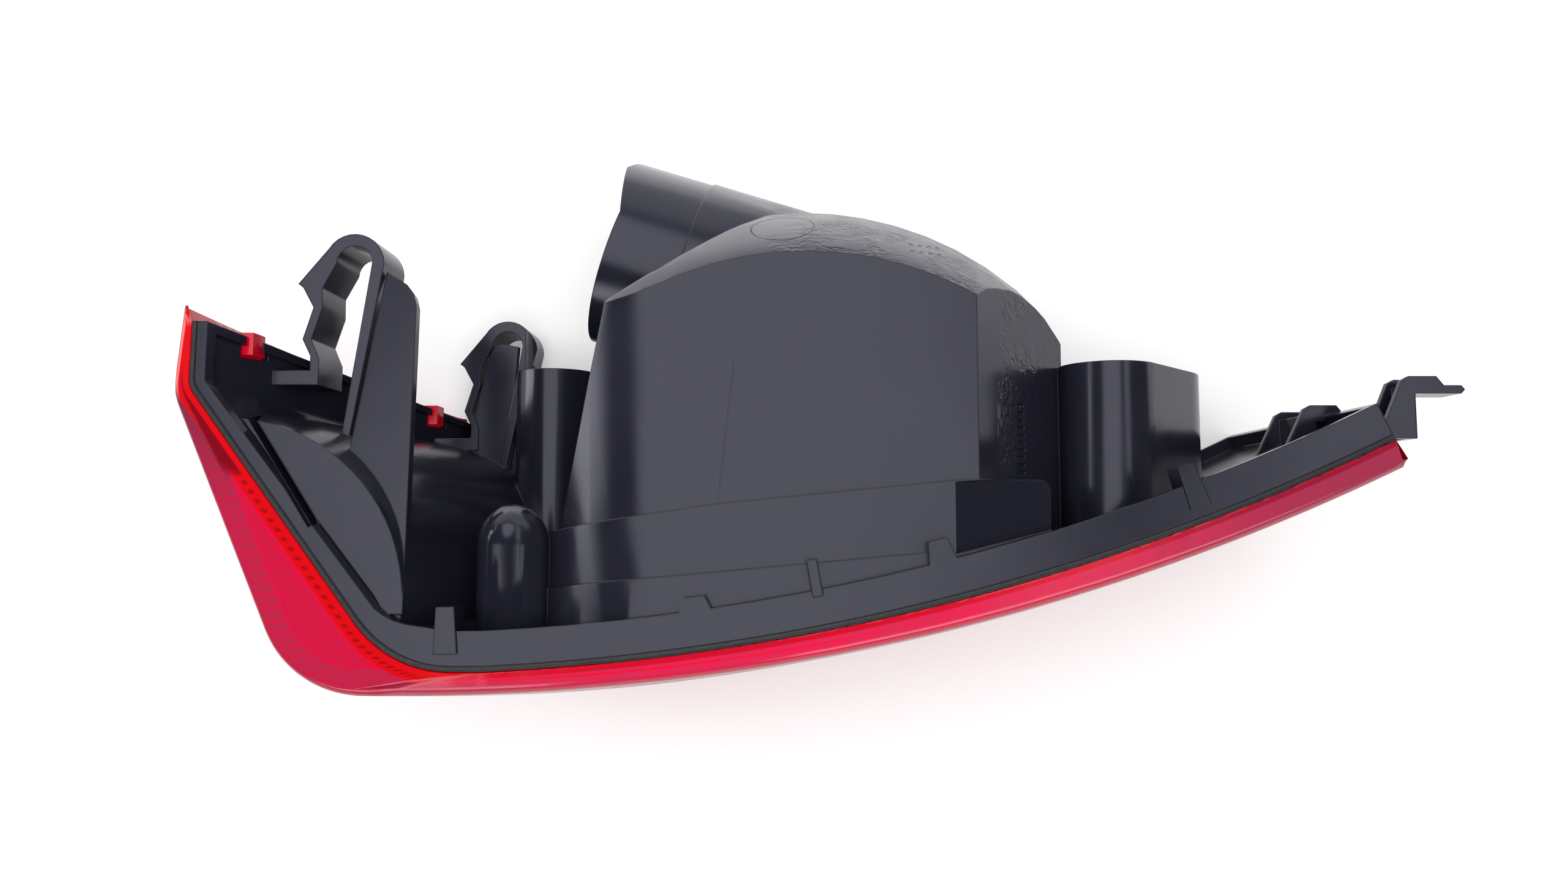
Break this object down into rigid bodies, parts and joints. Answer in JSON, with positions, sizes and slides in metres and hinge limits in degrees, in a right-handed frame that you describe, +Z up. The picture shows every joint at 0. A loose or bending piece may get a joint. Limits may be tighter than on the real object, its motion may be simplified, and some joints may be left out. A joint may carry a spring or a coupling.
{
  "type": "rear corner lamp cluster",
  "caption": "Left-hand rear lamp cluster of a car: a red lens wrapping round the body's corner, on a black plastic housing with a domed lamp chamber, bulb sockets, snap clips and hooks.",
  "frame": {"origin": "on the lower edge of the housing's rim, under the middle of the rear face", "axes": "X runs along the rear of the car towards its middle, Y points forwards into the body, Z is up; the lens faces -Y and wraps forwards at its -X end; the lamp stands on its lower edge at Z = 0"},
  "size_m": [0.3344, 0.1569, 0.0956],
  "materials": {
    "housing": "semi-gloss moulded black",
    "lens": "polished translucent red",
    "sealant": "matt",
    "reflex": "prismatic red",
    "bright_liner": "metallised",
    "gasket": "matt",
    "bulb_holder": "moulded grey",
    "contacts": "satin",
    "bulb_glass": "clear",
    "filament": "bare wire"
  },
  "bodies": {
    "root": {"housing": "housing", "outer_lens": "lens", "lens_seal": "sealant", "reflex_panel": "reflex", "main_reflector": "bright_liner", "fog_reflector": "bright_liner", "tail_reflector": "bright_liner", "stop_gasket": "gasket", "stop_holder": "bulb_holder", "stop_contacts": "contacts", "stop_bulb_cap": "contacts", "stop_bulb_glass": "bulb_glass", "stop_bulb_filament": "filament", "fog_gasket": "gasket", "fog_holder": "bulb_holder", "fog_contacts": "contacts", "fog_bulb_glass": "bulb_glass", "fog_bulb_filament": "filament", "tail_gasket": "gasket", "tail_holder": "bulb_holder", "tail_contacts": "contacts", "tail_bulb_glass": "bulb_glass", "tail_bulb_filament": "filament"}
  },
  "joints": []
}
